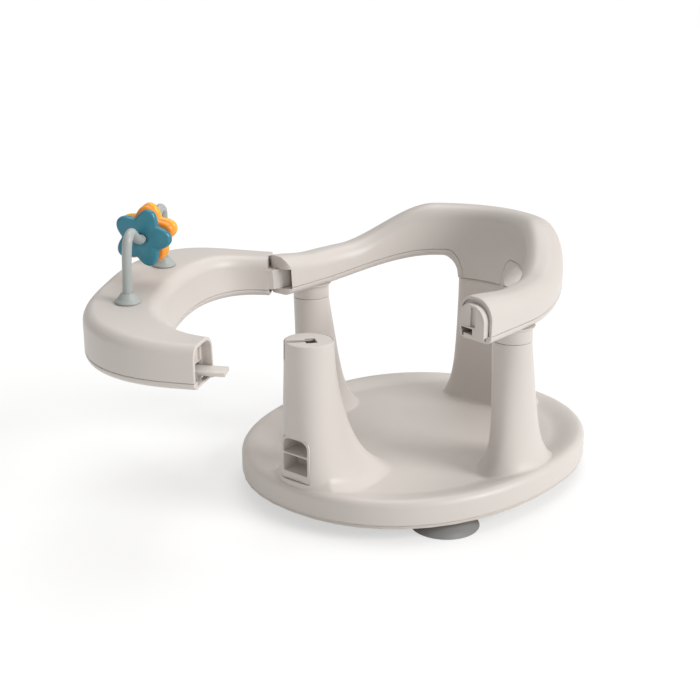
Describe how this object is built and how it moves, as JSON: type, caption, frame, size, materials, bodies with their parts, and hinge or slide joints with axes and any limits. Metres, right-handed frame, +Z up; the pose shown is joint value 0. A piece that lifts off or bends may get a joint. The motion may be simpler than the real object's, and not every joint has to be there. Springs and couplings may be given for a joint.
{
  "type": "baby bath seat",
  "caption": "Baby bath seat with a round suction base, four posts, an open ring and a hinged play tray with three turning flowers.",
  "frame": {"origin": "middle of the base plate's flat underside, halfway along and across the base", "axes": "+Z up, +X towards the seated child's left hand, -Y to the front where the legs go"},
  "size_m": [0.3923, 0.5331, 0.2986],
  "materials": {
    "shell_plastic": "satin moulded",
    "under_plastic": "satin moulded",
    "cup_rubber": "smoky soft vinyl",
    "grey_plastic": "satin moulded",
    "flower_teal_plastic": "satin moulded",
    "flower_orange_plastic": "satin moulded",
    "flower_yellow_plastic": "satin moulded",
    "steel": "zinc plated"
  },
  "bodies": {
    "seat": {"base_shell": "shell_plastic", "base_bottom_plate": "under_plastic", "suction_cup_front_left": "cup_rubber", "suction_cup_front_right": "cup_rubber", "suction_cup_rear_left": "cup_rubber", "suction_cup_rear_right": "cup_rubber", "base_screw_1": "steel", "base_screw_2": "steel", "base_screw_3": "steel", "base_screw_4": "steel", "base_screw_5": "steel", "base_screw_6": "steel", "front_post_cap": "shell_plastic", "front_pocket": "shell_plastic", "ring_top_shell": "shell_plastic", "ring_bottom_cover": "shell_plastic", "latch_receiver": "shell_plastic", "hinge_pin": "steel", "ring_screw_1": "steel", "ring_screw_2": "steel", "ring_screw_3": "steel", "ring_screw_4": "steel"},
    "tray": {"tray_top_shell": "shell_plastic", "tray_bottom_cover": "shell_plastic", "docking_key": "shell_plastic", "latch_pin": "steel", "latch_spring": "steel", "toy_bar": "grey_plastic", "toy_foot_left": "grey_plastic", "toy_foot_right": "grey_plastic", "tray_screw_1": "steel", "tray_screw_2": "steel", "tray_screw_3": "steel", "tray_screw_4": "steel"},
    "latch": {"latch_lever": "shell_plastic"},
    "flower_teal_body": {"flower_teal": "flower_teal_plastic"},
    "flower_orange_body": {"flower_orange": "flower_orange_plastic"},
    "flower_yellow_body": {"flower_yellow": "flower_yellow_plastic"}
  },
  "joints": [
    {"name": "tray_swing", "type": "hinge", "parent": "seat", "child": "tray", "pos_m": [-0.1278, -0.064, 0.19], "axis": [-0.0047, -0.0679, 0.9977], "range_deg": [0, 58]},
    {"name": "latch_press", "type": "hinge", "parent": "tray", "child": "latch", "pos_m": [-0.0282, -0.2933, 0.16412], "axis": [0.5299, -0.8459, -0.0598], "range_deg": [0, 7], "stiffness_Nm_per_rad": 0.3, "deforming": ["latch_spring"]},
    {"name": "flower_teal_spin", "type": "hinge", "parent": "tray", "child": "flower_teal_body", "pos_m": [-0.14588, -0.23106, 0.25595], "axis": [0.5299, -0.8459, -0.0598], "continuous": true},
    {"name": "flower_orange_spin", "type": "hinge", "parent": "tray", "child": "flower_orange_body", "pos_m": [-0.14588, -0.23106, 0.25595], "axis": [0.5299, -0.8459, -0.0598], "continuous": true},
    {"name": "flower_yellow_spin", "type": "hinge", "parent": "tray", "child": "flower_yellow_body", "pos_m": [-0.14588, -0.23106, 0.25595], "axis": [0.5299, -0.8459, -0.0598], "continuous": true}
  ]
}
